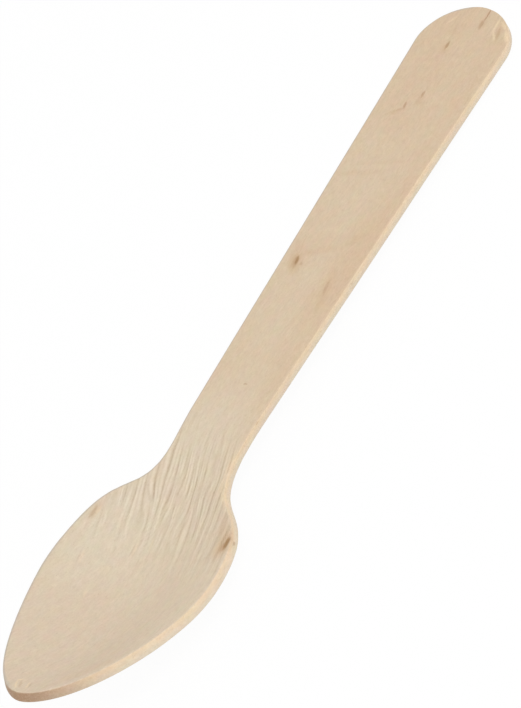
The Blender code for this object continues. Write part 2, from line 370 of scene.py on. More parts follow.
CURLS = {
    "end_ring_inner": (3.8, 5.45, 0.0, 1.8, 0.26, 0.7, 3, 0.66),
    "end_ring_inner_foot": (6.2, 6.25, 0.0, 1.25, 0.26, 0.7, 32, 0.62),
    "end_ring_outer": (3.7, 7.25, 0.0, 1.35, 0.26, 0.7, 48, 0.6),
    "end_ring_outer_foot": (5.9, 9.05, 0.0, 1.6, 0.42, 0.9, 34, 0.8),
    "end_arc": (4.1, -4.9, 0.0, 1.1, 0.22, 0.6, -35, 0.4),
    # Cream strokes of painted highlight on the tip nicks' lit edges, over small raised curls
    "tip_nick_curl_and_highlight": (158.2, -1.6, 0.0, 1.15, 0.17, 0.6, 38, 0.6),
    "tip_nick_hook_curl_and_highlight": (157.0, -2.05, 0.0, 0.42, 0.17, 0.6, -42, 0.55),
    "tip_nick_inner_curl_and_highlight": (157.6, 0.2, 0.0, 0.95, 0.17, 0.6, 28, 0.6),
    "left_stroke": (129.5, -12.45, 0.0, 1.2, 0.24, 0.6, 12, 0.3),
    "middle_stroke": (124.3, -4.85, 0.0, 1.3, 0.22, 0.6, 2, 0.26),
    "upper_stroke": (122.3, -2.4, 0.0, 1.2, 0.2, 0.6, 6, 0.24),
    "low_stroke": (135.7, -7.75, 0.0, 0.8, 0.22, 0.6, 18, 0.24),
    "left_rim_curl": (120.4, -14.5, 0.0, 0.9, 0.22, 0.8, -4, 0.4),
    # Painted light: a cream band along the neck's rim on the lamp's side, over small raised curls
    "neck_rim_painted_light": (106.8, 7.25, 0.0, 3.6, 0.42, 0.8, 5, 0.42),
    "neck_rim_foot_painted_light": (111.4, 9.1, 0.0, 2.8, 0.46, 0.8, 40, 0.42),
}
WARM_CLOUDS = {
    "handle_end": (8.0, 0.0, 0.0, 22.0, 16.0, 9.0, 0, 0.7),
    "end_side": (30.0, 8.5, 0.0, 16.0, 4.2, 9.0, -4, 0.75),
    "middle_side": (58.0, 7.2, 0.0, 20.0, 4.6, 9.0, -2, 1.0),
    "across_band": (57.0, 1.0, 0.0, 7.0, 1.8, 9.0, 118, 0.4),
    "neck_side": (84.0, 6.8, 0.0, 12.0, 3.0, 9.0, -2, 0.45),
    "bowl_low_side": (145.0, 11.0, 0.0, 12.0, 4.5, 9.0, -30, 0.45),
    "bowl_middle_side": (133.0, 14.0, 0.0, 9.0, 4.0, 9.0, -8, 0.35),
    "left_shoulder": (119.0, -13.0, 0.0, 4.5, 3.0, 9.0, 40, 0.35),
}
PALE_CLOUDS = {
    "bowl": (134.0, 0.0, 0.0, 33.0, 30.0, 9.0, 0, 0.72),
    "neck": (112.0, -1.0, 0.0, 18.0, 10.0, 9.0, 0, 0.8),
    "bowl_left": (124.0, -9.0, 0.0, 18.0, 9.0, 9.0, -14, 1.0),
    "handle_middle": (72.0, -2.0, 0.0, 14.0, 3.6, 9.0, 0, 0.15),
}
# Painted shade over the bowl's lower half, beside the bowl's knot and along a ridge
PAINTED_SHADE_CLOUDS = {
    "bowl_low": (148.0, -2.0, 0.0, 16.0, 16.0, 9.0, 0, 0.52),
    "knot_shade": (121.9, 13.2, 0.0, 1.6, 1.2, 9.0, 0, 0.9),
    "left_ridge_shade": (113.0, -6.4, 0.0, 3.6, 0.35, 0.6, 3, 0.3),
}

# Clouds, in the order in which they are laid on: their colour, their ovals, the softness of an oval's
# edge as a share of its half size, and how much the drift and the ripple add to them
CLOUDS = (
    ("warm", WARM_CLOUDS, 0.75, 0.9, 0.5),
    ("pale", PALE_CLOUDS, 0.60, -0.5, 0.0),
    ("painted_shade", PAINTED_SHADE_CLOUDS, 0.60, 0.0, 0.0),
)

# Small marks, also in the order of laying on: their colour, their ovals, and the softness of an edge
MARKS = (
    ("halo", HALOS, 0.70),
    ("curl", CURLS, 0.70),
    ("fleck", FLECKS, 0.55),
    ("knot", KNOTS, 0.45),
)

# Depths of the hollows at some of the marks, and height of the curls, in millimetres
HOLLOWS = {
    "handle_knot": 0.07, "bowl_knot": 0.09, "crack_start": 0.30, "crack_stop": 0.10,
    "end_fleck": 0.05, "left_rim_mark": 0.06, "tip_nick_pit_and_shadow": 0.08, "tip_nick_inner_pit_and_shadow": 0.08,
}
CURL_HEIGHT = 0.06


def smooth_step(share):
    """Rise from 0 to 1 with level ends: three times the square less twice the cube"""
    share = np.clip(share, 0.0, 1.0)
    return share * share * (3.0 - 2.0 * share)


def stacked(x, y, z):
    """Places from their three parts, of which the last may be one number for all"""
    return np.stack([x, y, np.broadcast_to(z, x.shape)], axis=-1)


def length_of(blank):
    """Whole length of the spoon"""
    return blank.handle_length + blank.shoulder_length + blank.bowl_front_length


def handle_taper(blank):
    """Change of the handle's half width for each length along it"""
    run = blank.handle_length - blank.handle_end_round
    return 0.5 * (blank.neck_width - blank.handle_end_width) / run


def handle_side(blank, x):
    """Half width of the straight handle: a line that passes the rounded end at half the end's width"""
    return 0.5 * blank.handle_end_width + handle_taper(blank) * (x - blank.handle_end_round)


def handle_end(blank):
    """Rounded end of the handle: a superellipse from the middle line out to the tapering side"""
    turn = np.linspace(0.0, 0.5 * math.pi, OUTLINE_STEPS)
    power = 2.0 / blank.handle_end_power
    x = blank.handle_end_round * (1.0 - np.cos(turn) ** power)
    return x, handle_side(blank, x) * np.sin(turn) ** power


def handle_run(blank):
    """Straight side of the handle, from its rounded end to the neck"""
    x = np.linspace(blank.handle_end_round, blank.handle_length, OUTLINE_STEPS)
    return x, handle_side(blank, x)


def shoulder(blank):
    """Curve from the neck out to the bowl's widest place: a cubic with a pull at each end"""
    taper = handle_taper(blank)
    ahead = np.array([1.0, taper]) / math.hypot(1.0, taper)
    start = np.array([blank.handle_length, 0.5 * blank.neck_width])
    stop = np.array([blank.handle_length + blank.shoulder_length, 0.5 * blank.bowl_width])
    pull_out = start + blank.neck_flow * ahead
    pull_in = stop - np.array([blank.shoulder_flow, 0.0])
    t = np.linspace(0.0, 1.0, OUTLINE_STEPS)[:, None]
    back = 1.0 - t
    leaving = back ** 3 * start + 3.0 * back ** 2 * t * pull_out
    arriving = 3.0 * back * t ** 2 * pull_in + t ** 3 * stop
    return (leaving + arriving).T


def bowl_front(blank):
    """Egg-shaped front of the bowl: one power of the sine along, another of the cosine across"""
    turn = np.linspace(0.0, 0.5 * math.pi, OUTLINE_STEPS)
    along = 1.0 - np.sin(turn) ** (2.0 / blank.tip_length_power)
    x = length_of(blank) - blank.bowl_front_length * along
    return x, 0.5 * blank.bowl_width * np.cos(turn) ** (2.0 / blank.tip_width_power)


def softened(blank, x, y):
    """Half widths of the outline, averaged along it near the widest place, where two curves meet"""
    widest = blank.handle_length + blank.shoulder_length
    nearby = np.linspace(-blank.side_softness, blank.side_softness, SIDE_STEPS)
    average = np.interp(x[:, None] + nearby[None, :], x, y).mean(axis=1)
    share = 1.0 - smooth_step(np.abs(x - widest) / (SIDE_REACH * blank.side_softness))
    return y + share * (average - y)


def outline(blank):
    """One half of the outline: its places, the distance run along it, and its outward normals.

    The normal is the direction along the outline, turned a quarter to the outside.
    """
    stretches = [handle_end(blank), handle_run(blank), shoulder(blank), bowl_front(blank)]
    x = np.concatenate([stretch[0] for stretch in stretches])
    y = softened(blank, x, np.concatenate([stretch[1] for stretch in stretches]))
    keep = np.concatenate([[True], np.hypot(np.diff(x), np.diff(y)) > SAME_PLACE])
    x, y = x[keep], y[keep]
    run = np.concatenate([[0.0], np.cumsum(np.hypot(np.diff(x), np.diff(y)))])
    along_x = np.gradient(x, run)
    along_y = np.gradient(y, run)
    size = np.hypot(along_x, along_y)
    out_x = -along_y / size
    out_y = along_x / size
    out_x[0], out_y[0] = -1.0, 0.0
    out_x[-1], out_y[-1] = 1.0, 0.0
    return x, y, run, out_x, out_y


def row_runs(blank, x, run):
    """Distances along the outline at which the grid's rows meet it, finer from the neck to the tip"""
    end_side = np.interp(blank.handle_end_round, x, run)
    end_cap = CAP_SHARE * end_side
    neck = np.interp(blank.handle_length, x, run)
    rows = [
        np.linspace(end_cap, end_side, END_ROWS + 1)[:-1],
        np.linspace(end_side, neck, HANDLE_ROWS + 1)[:-1],
        np.linspace(neck, run[-1] - end_cap, BOWL_ROWS + 1),
    ]
    return np.concatenate(rows)


def end_fade(distance):
    """Weight of a rounded end on the rows near it: 1 at the end, falling to 0 as a square"""
    return np.clip(1.0 - distance / END_FADE, 0.0, 1.0) ** 2


def blank_grid(blank, inset):
    """Places of the grid's points on the flat blank, set in by a distance from the rim as pressed.

    A row runs straight across from rim to rim, and the columns share it out evenly. Near a rounded end
    it is bowed by its share of that end's own curve, so that the first and the last row are that curve.
    """
    x, y, run, out_x, out_y = outline(blank)
    runs = row_runs(blank, x, run)[:, None]
    rim_x = x + (blank.spread - inset) * out_x
    rim_y = y + (blank.spread - inset) * out_y
    side = np.linspace(-1.0, 1.0, COLUMNS + 1)[None, :]
    across = np.abs(side)
    first, last = runs[0, 0], runs[-1, 0]
    px = np.interp(runs, run, rim_x)
    py = np.interp(runs, run, rim_y) * across
    for cap, cap_run in ((first, first * across), (last, run[-1] - (run[-1] - last) * across)):
        fade = end_fade(np.abs(runs - cap))
        px = px + fade * (np.interp(cap_run, run, rim_x) - np.interp(cap, run, rim_x))
        py = py + fade * (np.interp(cap_run, run, rim_y) - np.interp(cap, run, rim_y) * across)
    return px, np.sign(side) * py


def height_line(blank, press, x, drop, lowest_to_tip):
    """Height along the spoon: level, a smooth fall to the lowest place, a parabola up to the tip"""
    bend = length_of(blank) - press.bend_to_tip
    lowest = length_of(blank) - lowest_to_tip
    fall = smooth_step((x - bend) / (lowest - bend))
    rise = np.clip((x - lowest) / lowest_to_tip, 0.0, 1.0) ** 2
    return (drop + press.tip_rise) * rise - drop * fall


def dish_height(blank, press, px, py):
    """Height of the smooth upper face: the middle line's, rising across to the rim's in an open S.

    The S is a share of the square of the distance across and, for the rest, a smooth step of it.
    """
    x, y, _, _, _ = outline(blank)
    middle = height_line(blank, press, px, press.bowl_depth, press.deepest_to_tip)
    rim = height_line(blank, press, px, press.rim_dip, press.rim_low_to_tip)
    half_width = np.maximum(np.interp(px, x, y), LEAST_WIDTH)
    share = np.clip(np.abs(py) / half_width, 0.0, 1.0)
    section = press.dish_openness * share ** 2 + (1.0 - press.dish_openness) * smooth_step(share)
    return middle + (rim - middle) * section


def slope(blank, press, x, y, along, across):
    """Slope of the smooth face one way: its rise from just behind to just ahead, over the distance"""
    step_x = along * SLOPE_REACH
    step_y = across * SLOPE_REACH
    ahead = dish_height(blank, press, x + step_x, y + step_y)
    behind = dish_height(blank, press, x - step_x, y - step_y)
    return (ahead - behind) / (2.0 * SLOPE_REACH)


def way_down(blank, press):
    """Way from the face down through the wood at each grid place: straight down, leaning with the slopes.

    The slopes are taken a little inside the rim, where the face is still whole.
    """
    x, y = blank_grid(blank, blank.spread + SLOPE_INSET)
    lean = press.wall_lean * slope(blank, press, x, y, 1.0, 0.0)
    flare = press.wall_flare * slope(blank, press, x, y, 0.0, 1.0)
    way = stacked(lean, flare, -1.0)
    return way / np.linalg.norm(way, axis=-1, keepdims=True)


def soft_noise(name, x, y):
    """Smooth noise, up to its weight each way: random heights on a lattice, joined by smooth steps"""
    step_x, step_y, seed, weight = NOISES[name]
    lattice = np.random.default_rng(seed).uniform(-1.0, 1.0, (LATTICE_CELLS, LATTICE_CELLS))
    u = x / (step_x * MM)
    v = y / (step_y * MM)
    i = np.floor(u).astype(int)
    j = np.floor(v).astype(int)
    a = smooth_step(u - i)
    b = smooth_step(v - j)
    i0, i1 = i % LATTICE_CELLS, (i + 1) % LATTICE_CELLS
    j0, j1 = j % LATTICE_CELLS, (j + 1) % LATTICE_CELLS
    low = (1.0 - a) * lattice[i0, j0] + a * lattice[i1, j0]
    high = (1.0 - a) * lattice[i0, j1] + a * lattice[i1, j1]
    return weight * ((1.0 - b) * low + b * high)


def valleys(count):
    """Narrow valleys, 1 deep at each whole count: the square of a raised cosine"""
    return (0.5 + 0.5 * np.cos(2.0 * math.pi * count)) ** 2


def pressed_ridges(press, x, y):
    """Pressed ridges, as their strength and as the depth of the valleys between them, each 0 to 1.

    A ridge runs sideways by its skew, so its count is the place across, carried back along that skew to
    the ridges' middle and divided by the pitch. Slow noise bends and pinches the lines. A finer set of
    valleys is mixed in. Noise that is long along the ridge and changes from one to the next gives each
    its own length.
    """
    start = y - press.ridge_skew * (x - press.ridges_middle)
    count = start / press.ridge_pitch
    count = count + soft_noise("ridge_bend", x, start) + soft_noise("ridge_pinch", x, start)
    fine = count * FINE_RIDGES + soft_noise("fine_ridge_bend", x, start)
    valley = BROAD_SHARE * valleys(count) + (1.0 - BROAD_SHARE) * valleys(fine)
    fade = smooth_step(np.abs(x - press.ridges_middle) / press.ridges_reach)
    own = RIDGE_MEAN + press.ridges_one_side * y + soft_noise("ridge_strength", x, count * MM)
    return np.clip(own, 0.0, 1.0) * (1.0 - fade), valley


def bell(x, y, mark):
    """A soft swelling over a mark's oval: 1 in its middle, falling as a bell of the distance from it"""
    middle_x, middle_y, _, half_length, half_width, _, turn, _ = mark
    cos, sin = math.cos(math.radians(turn)), math.sin(math.radians(turn))
    off_x, off_y = x / MM - middle_x, y / MM - middle_y
    along = (off_x * cos + off_y * sin) / half_length
    across = (off_y * cos - off_x * sin) / half_width
    return np.exp(-(along ** 2 + across ** 2))


def face_relief(press, x, y):
    """Small heights of the upper face: slow waves, less the valleys and the hollows, plus the curls"""
    strength, valley = pressed_ridges(press, x, y)
    waves = soft_noise("face_waves", x, y) + soft_noise("face_ripples", x, y)
    relief = press.unevenness * waves - press.ridge_height * strength * valley
    marks = {**KNOTS, **FLECKS}
    for name, depth in HOLLOWS.items():
        relief = relief - depth * MM * bell(x, y, marks[name])
    for curl in CURLS.values():
        relief = relief + CURL_HEIGHT * MM * bell(x, y, curl)
    return relief


def underside_relief(press, x, y):
    """Small hollows of the underside, never proud of it: slow waves, and a faint print of the ridges"""
    strength, valley = pressed_ridges(press, x + PRINT_ALONG, y + PRINT_ACROSS)
    waves = press.unevenness * (1.0 + soft_noise("underside_waves", x, y))
    return waves + PRINT_HEIGHT * press.ridge_height * strength * valley


def wall_profile(blank):
    """Inset and depth of the wall's rings, going down: a quarter round, a straight, a quarter round"""
    upper = np.linspace(0.0, 0.5 * math.pi, CORNER_RINGS + 1)[1:]
    lower = np.linspace(0.0, 0.5 * math.pi, CORNER_RINGS + 1)[:-1]
    start, stop = blank.upper_round, blank.veneer - blank.lower_round
    spaced = smooth_step(np.linspace(0.0, 1.0, WALL_RINGS + 2)[1:-1])
    inset = [
        blank.upper_round * (1.0 - np.sin(upper)),
        np.zeros(WALL_RINGS),
        blank.lower_round * (1.0 - np.cos(lower)),
    ]
    depth = [
        blank.upper_round * (1.0 - np.cos(upper)),
        start + (stop - start) * spaced,
        blank.veneer - blank.lower_round * (1.0 - np.sin(lower)),
    ]
    return np.concatenate(inset), np.concatenate(depth)


def around(grid):
    """The grid's border as one ring, turning from x to y: one side, the tip, the other side, the end"""
    return np.concatenate([grid[:-1, 0], grid[-1, :-1], grid[:0:-1, -1], grid[0, :0:-1]])


def on_border(shape, ring):
    """A grid that holds a ring's values on its border, and 0 inside it"""
    grid = np.zeros(shape)
    grid.flat[around(np.arange(grid.size).reshape(shape))] = ring
    return grid


def joined(face, rings, under):
    """One array over all points: the face's grid, the wall's rings, and the underside's grid"""
    face, under = (grid.reshape(-1, *grid.shape[2:]) for grid in (face, under))
    return np.concatenate([face, *rings, under])


def wall_edge(blank):
    """The outline as one ring: its places, its way out, and how far it shows cut grain and the tip's
    painted shade.

    The way out is the step from the place before to the place after, turned a quarter. The cut is that
    step's share across the spoon, and part of it is hidden away from the tip, so that its brown, which
    also stands in for painted shade, is strongest at the tip.
    """
    x, y = (around(grid) for grid in blank_grid(blank, 0.0))
    run_x = np.roll(x, -1) - np.roll(x, 1)
    run_y = np.roll(y, -1) - np.roll(y, 1)
    out = stacked(run_y, -run_x, 0.0)
    out = out / np.linalg.norm(out, axis=1, keepdims=True)
    away = smooth_step((length_of(blank) - x) / blank.bowl_front_length)
    return x, y, out, np.abs(run_y) / np.hypot(run_x, run_y) * (1.0 - CUT_AND_SHADE_HIDDEN * away)


def wall_rings(blank, press, edge, down, upper_relief, lower_relief):
    """Points of the wall's rings, and their places on the blank.

    A ring follows the outline at its own inset and depth, and wavers a little where the stamp tore the
    fibres. The reliefs of the face and of the underside fade into each other down the wall.
    """
    edge_x, edge_y, out, _ = edge
    rings = []
    places = []
    for inset, depth in zip(*wall_profile(blank)):
        x, y = blank_grid(blank, inset)
        ring = around(stacked(x, y, dish_height(blank, press, x, y)))
        share = depth / blank.veneer
        sink = depth - (1.0 - share) * upper_relief - share * lower_relief
        tear = soft_noise("wall_tear", edge_x + edge_y, depth) * math.sin(math.pi * share)
        rings.append(ring + down * sink[:, None] + out * tear[:, None])
        places.append(stacked(ring[:, 0], ring[:, 1], -depth))
    return rings, places


def spoon_surface(blank, press):
    """Points of the spoon on the handle's plane, what its wood needs to know there, and its grid's size.

    The face is the dish's height over the blank's grid. The underside is the same grid, moved down
    through the wood by its thickness, and the wall's rings join the two.
    """
    x, y = blank_grid(blank, blank.upper_round)
    relief = face_relief(press, x, y)
    face = stacked(x, y, dish_height(blank, press, x, y) + relief)

    under_x, under_y = blank_grid(blank, blank.lower_round)
    under_relief = underside_relief(press, under_x, under_y)
    down = way_down(blank, press)
    under = stacked(under_x, under_y, dish_height(blank, press, under_x, under_y))
    under = under + (blank.veneer - under_relief)[:, :, None] * down

    edge = wall_edge(blank)
    rings, places = wall_rings(blank, press, edge, around(down), around(relief), around(under_relief))

    # The cut grain's share, which also carries the tip's painted shade
    _, edge_y, _, cut = edge
    strength, valley = pressed_ridges(press, x, y)
    # Painted light and shade of the ridges: above their mean on the crests, below it in the valleys
    ridge = strength * (VALLEY_MEAN - valley)
    # Painted shade along the far side's rim, which is turned away from the lamp
    far = smooth_step(-edge_y / RIM_PAINTED_SHADE_WIDTH)
    none = np.zeros_like(far)
    cut_and_shade_rim = on_border(x.shape, cut)
    rim_shade_rings = [far] * CORNER_RINGS + [none] * (len(rings) - CORNER_RINGS)
    looks = {
        BLANK_PLACE: joined(stacked(x, y, 0.0), places, stacked(under_x, under_y, -blank.veneer)) / MM,
        END_GRAIN_AND_TIP_SHADE: joined(cut_and_shade_rim, [cut] * len(rings), cut_and_shade_rim),
        RIDGE_PAINTED_LIGHT: joined(ridge, [none] * len(rings), PRINT_SHADING * ridge),
        RIM_PAINTED_SHADE: joined(on_border(x.shape, far), rim_shade_rings, np.zeros(x.shape)),
    }
    return joined(face, rings, under), looks, x.shape, len(rings)


def quads(grid):
    """Corners of the four-sided faces between a grid's points"""
    corners = [grid[:-1, :-1], grid[1:, :-1], grid[1:, 1:], grid[:-1, 1:]]
    return np.stack(corners, axis=-1).reshape(-1, 4)


def spoon_faces(shape, rings):
    """Corners of all faces: the face's grid, the wall's closed bands, and the underside turned over"""
    face = np.arange(shape[0] * shape[1]).reshape(shape)
    border = around(face)
    ring = face.size + np.arange(rings * border.size).reshape(rings, border.size)
    under = ring[-1, -1] + 1 + face
    bands = np.vstack([border, ring, around(under)])
    bands = np.hstack([bands, bands[:, :1]])
    return np.concatenate([quads(face), quads(bands), quads(under.T)])


def lay_on_frame(points):
    """Turn and move points from the handle's plane to where the frame's spoon lies.

    The frame's mount on the handle's upper face gives the tilt and the height, and the spoon's box
    gives the handle's end.
    """
    mount = next(mount for mount in frame["record"]["mounts"] if mount["name"] == FACE_MOUNT)
    axis = mount["axis"]
    tilt = math.atan2(axis[0], axis[2])
    lowest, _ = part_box(NODE)
    level = sum(a * b for a, b in zip(axis, mount["pos_m"]))
    end_height = (level - axis[0] * lowest.x) / axis[2]
    cos, sin = math.cos(tilt), math.sin(tilt)
    x = points[:, 0] * cos + points[:, 2] * sin + lowest.x
    z = points[:, 2] * cos - points[:, 0] * sin + end_height
    return np.column_stack([x, points[:, 1], z])


def smooth_mesh(name, points, corners):
    """A smooth mesh from whole arrays of points and of the corners of four-sided faces"""
    mesh = bpy.data.meshes.new(name)
    mesh.vertices.add(len(points))
    mesh.vertices.foreach_set("co", points.astype(np.float32).ravel())
    mesh.loops.add(corners.size)
    mesh.loops.foreach_set("vertex_index", corners.astype(np.int32).ravel())
    mesh.polygons.add(len(corners))
    mesh.polygons.foreach_set("loop_start", np.arange(0, corners.size, 4, dtype=np.int32))
    mesh.update(calc_edges=True)
    mesh.validate()
    mesh.shade_smooth()
    return mesh


def put_in_scene(name, data):
    """A new object in the scene, with its data"""
    thing = bpy.data.objects.new(name, data)
    bpy.context.scene.collection.objects.link(thing)
    return thing


class Graph:
    """Short words for adding the shader nodes of a material or a world, and joining them"""

    def __init__(self, owner):
        owner.use_nodes = True
        self.tree = owner.node_tree
        self.tree.nodes.clear()

    def add(self, kind, fed, **settings):
        """Add a node, with its settings and with what is fed to its sockets"""
        node = self.tree.nodes.new(kind)
        for name, value in settings.items():
            setattr(node, name, value)
        for socket, value in fed.items():
            self.feed(node.inputs[socket], value)
        return node

    def feed(self, socket, value):
        """Join an output to a socket, or set a plain value on it, a colour with its full opacity"""
        if isinstance(value, bpy.types.NodeSocket):
            self.tree.links.new(value, socket)
        elif socket.type == "RGBA":
            socket.default_value = (*value, 1.0)
        else:
            socket.default_value = value

    def attribute(self, name, output="Fac"):
        """What the mesh says at each point"""
        return self.add("ShaderNodeAttribute", {}, attribute_name=name).outputs[output]

    def sum_up(self, operation, *values, clamp=False):
        """One step of arithmetic on numbers"""
        fed = dict(enumerate(values))
        return self.add("ShaderNodeMath", fed, operation=operation, use_clamp=clamp).outputs[0]

    def combine(self, operation, *values, output="Vector"):
        """One step of arithmetic on places or colours"""
        fed = dict(enumerate(values))
        return self.add("ShaderNodeVectorMath", fed, operation=operation).outputs[output]

    def noise(self, vector, scale, turn, detail, roughness, output="Fac"):
        """Fractal noise about a half, on a place that is turned about z and then stretched"""
        turned = self.add("ShaderNodeMapping", {"Vector": vector, "Rotation": (0.0, 0.0, turn)})
        stretched = self.combine("MULTIPLY", turned.outputs[0], scale)
        fed = {"Vector": stretched, "Scale": 1.0, "Detail": detail, "Roughness": roughness}
        return self.add("ShaderNodeTexNoise", fed).outputs[output]

    def step(self, value, low, high, out_low=0.0, out_high=1.0):
        """A smooth step of a value from one level to another"""
        fed = {"Value": value, "From Min": low, "From Max": high, "To Min": out_low, "To Max": out_high}
        return self.add("ShaderNodeMapRange", fed, interpolation_type="SMOOTHSTEP").outputs[0]

    def blend(self, share, first, second):
        """Mix two colours by a share"""
        return self.add("ShaderNodeMix", {0: share, 6: first, 7: second}, data_type="RGBA").outputs[2]

    def oval(self, vector, mark, softness):
        """Strength of one mark: full in its middle, fading over the softness at its oval's edge"""
        middle, half_sizes, (turn, strength) = mark[:3], mark[3:6], mark[6:]
        spin = (0.0, 0.0, math.radians(turn))
        fed = {"Vector": vector, "Location": middle, "Rotation": spin, "Scale": half_sizes}
        inside = self.add("ShaderNodeMapping", fed, vector_type="TEXTURE").outputs[0]
        distance = self.combine("LENGTH", inside, output="Value")
        return self.step(distance, 1.0 + softness, 1.0 - softness, 0.0, strength)

    def ovals(self, vector, marks, softness):
        """Strength of a set of marks: the strongest of them at each place"""
        total = 0.0
        for mark in marks.values():
            total = self.sum_up("MAXIMUM", total, self.oval(vector, mark, softness))
        return total


def pattern(graph, place, wood, name, output="Fac"):
    """One of the wood's patterns, about its middle"""
    scale, turned, detail, roughness = PATTERNS[name]
    turn = wood.grain_skew if turned else 0.0
    return graph.noise(place, scale, turn, detail, roughness, output)


def centred(graph, place, wood, name):
    """One of the wood's patterns, moved to lie about zero"""
    return graph.sum_up("SUBTRACT", pattern(graph, place, wood, name), NOISE_MIDDLE)


def figure_colour(graph, place, wood):
    """Colour of the plain wood: clouds of warm and pale wood, then clouds of painted shade, with drifting
    edges
    """
    drift = centred(graph, place, wood, "drift")
    ripple = centred(graph, place, wood, "ripple")
    colour = wood.face
    for name, clouds, softness, drifting, rippling in CLOUDS:
        share = graph.ovals(place, clouds, softness)
        share = graph.sum_up("MULTIPLY_ADD", drift, drifting, share)
        share = graph.sum_up("MULTIPLY_ADD", ripple, rippling, share, clamp=True)
        colour = graph.blend(share, colour, getattr(wood, name))
    return colour


def fibres(graph, place, wood):
    """Fine grain about zero: the sum of its patterns, each times its weight"""
    grain = 0.0
    for name, weight in GRAIN_WEIGHTS.items():
        grain = graph.sum_up("MULTIPLY_ADD", centred(graph, place, wood, name), weight, grain)
    return grain


def mottle(graph, place, wood):
    """Factor on each of the three colours, about one: it drifts over a few millimetres"""
    noise = pattern(graph, place, wood, "mottle", "Color")
    strength = wood.mottle_strength
    base = 1.0 - NOISE_MIDDLE * strength
    return graph.combine("MULTIPLY_ADD", noise, (strength,) * 3, (base,) * 3)


def wall_colour(graph, place, wood, thickness):
    """Colour of the stamped wall, the share in which it shows, and its layers.

    It is cream by the face, greyer below, and brown where it cuts across the grain, a brown that at the
    tip also stands in for painted shade.
    """
    split = graph.add("ShaderNodeSeparateXYZ", {0: place})
    depth = graph.sum_up("MULTIPLY", split.outputs["Z"], -1.0 / thickness)
    layers = centred(graph, place, wood, "layers")
    fall = graph.sum_up("MULTIPLY_ADD", layers, LAYER_SHIFT, depth)
    colour = graph.blend(graph.step(fall, *WALL_GREYING), wood.edge, wood.lower_edge)
    # Brown of the end grain, which at the tip is also painted shade
    cut = graph.step(graph.attribute(END_GRAIN_AND_TIP_SHADE), *CUT_AND_SHADE_LEVELS)
    dots = graph.sum_up("MULTIPLY_ADD", pattern(graph, place, wood, "dots"), *CUT_DOTS, clamp=True)
    colour = graph.blend(graph.sum_up("MULTIPLY", cut, dots), colour, wood.end_wood_and_tip_shade)
    shown = graph.sum_up("MULTIPLY", graph.step(depth, *WALL_TOP), graph.step(depth, *WALL_FOOT))
    return colour, shown, layers


def birch_material(blank, wood):
    """Bare rotary-cut birch, drawn on the flat blank's own places in millimetres"""
    material = bpy.data.materials.new("birch_veneer_bare")
    material.diffuse_color = (*wood.face, 1.0)
    graph = Graph(material)
    place = graph.attribute(BLANK_PLACE, "Vector")
    grain = fibres(graph, place, wood)
    pores = graph.step(pattern(graph, place, wood, "pores"), *PORE_LEVELS)
    wall, on_wall, layers = wall_colour(graph, place, wood, blank.veneer / MM)

    rag = graph.combine("SUBTRACT", pattern(graph, place, wood, "rag", "Color"), (NOISE_MIDDLE,) * 3)
    ragged = graph.combine("MULTIPLY_ADD", rag, RAG_REACH, place)
    colour = graph.blend(on_wall, figure_colour(graph, place, wood), wall)
    # Painted shade along the far side's rim
    colour = graph.blend(graph.attribute(RIM_PAINTED_SHADE), colour, wood.rim_painted_shade)
    for name, marks, softness in MARKS:
        colour = graph.blend(graph.ovals(ragged, marks, softness), colour, getattr(wood, name))
    colour = graph.blend(graph.sum_up("MULTIPLY", pores, wood.pore_strength), colour, wood.fleck)

    light = graph.sum_up("MULTIPLY", grain, wood.grain_strength / NOISE_MIDDLE)
    # Painted light on the ridges' crests and painted shade in their valleys, fainter on the underside
    light = graph.sum_up("MULTIPLY_ADD", graph.attribute(RIDGE_PAINTED_LIGHT), wood.ridge_strength, light)
    colour = graph.combine("MULTIPLY", colour, mottle(graph, place, wood))
    colour = graph.combine("MULTIPLY", colour, graph.combine("MULTIPLY_ADD", light, GREY_SHADE, WHITE))

    height = graph.sum_up("MULTIPLY_ADD", pores, PORE_HEIGHT, grain)
    raised = graph.sum_up("MULTIPLY", layers, on_wall)
    height = graph.sum_up("MULTIPLY_ADD", raised, LAYER_HEIGHT, height)
    bump = graph.add("ShaderNodeBump", {"Distance": wood.bump_height, "Height": height})
    shader = graph.add("ShaderNodeBsdfPrincipled", {
        "Base Color": colour,
        "Roughness": graph.step(grain, *GRAIN_RANGE, *ROUGHNESS),
        "Normal": bump.outputs[0],
        "Specular IOR Level": GLOSS,
    })
    graph.add("ShaderNodeOutputMaterial", {"Surface": shader.outputs[0]})
    return material


def white_to_camera(graph, share, light, white, output):
    """End a graph with its light, and with plain white over it, by a share, for the camera.

    The white shows where the camera looks straight at it, or through a reflection or glass.
    """
    path = graph.add("ShaderNodeLightPath", {}).outputs
    seen = graph.sum_up("MAXIMUM", path["Is Camera Ray"], path["Is Glossy Ray"])
    seen = graph.sum_up("MAXIMUM", seen, path["Is Transmission Ray"])
    seen = graph.sum_up("MULTIPLY", seen, share)
    mix = graph.add("ShaderNodeMixShader", {0: seen, 1: light.outputs[0], 2: white.outputs[0]})
    graph.add(output, {"Surface": mix.outputs[0]})


def table_material(stage):
    """Pale matt table that looks nearly white to the camera and keeps a faint shadow"""
    material = bpy.data.materials.new("pale_table")
    graph = Graph(material)
    matt = graph.add("ShaderNodeBsdfDiffuse", {"Color": stage.table})
    white = graph.add("ShaderNodeEmission", {"Color": WHITE, "Strength": 1.0})
    white_to_camera(graph, stage.table_glow, matt, white, "ShaderNodeOutputMaterial")
    return material


def add_table(stage):
    """A large flat table at the spoon's lowest height: one four-sided face"""
    half = 0.5 * stage.table_size
    corners = np.array([[-half, -half, 0.0], [half, -half, 0.0], [half, half, 0.0], [-half, half, 0.0]])
    mesh = smooth_mesh("table", corners, np.array([[0, 1, 2, 3]]))
    mesh.materials.append(table_material(stage))
    table = put_in_scene("table", mesh)


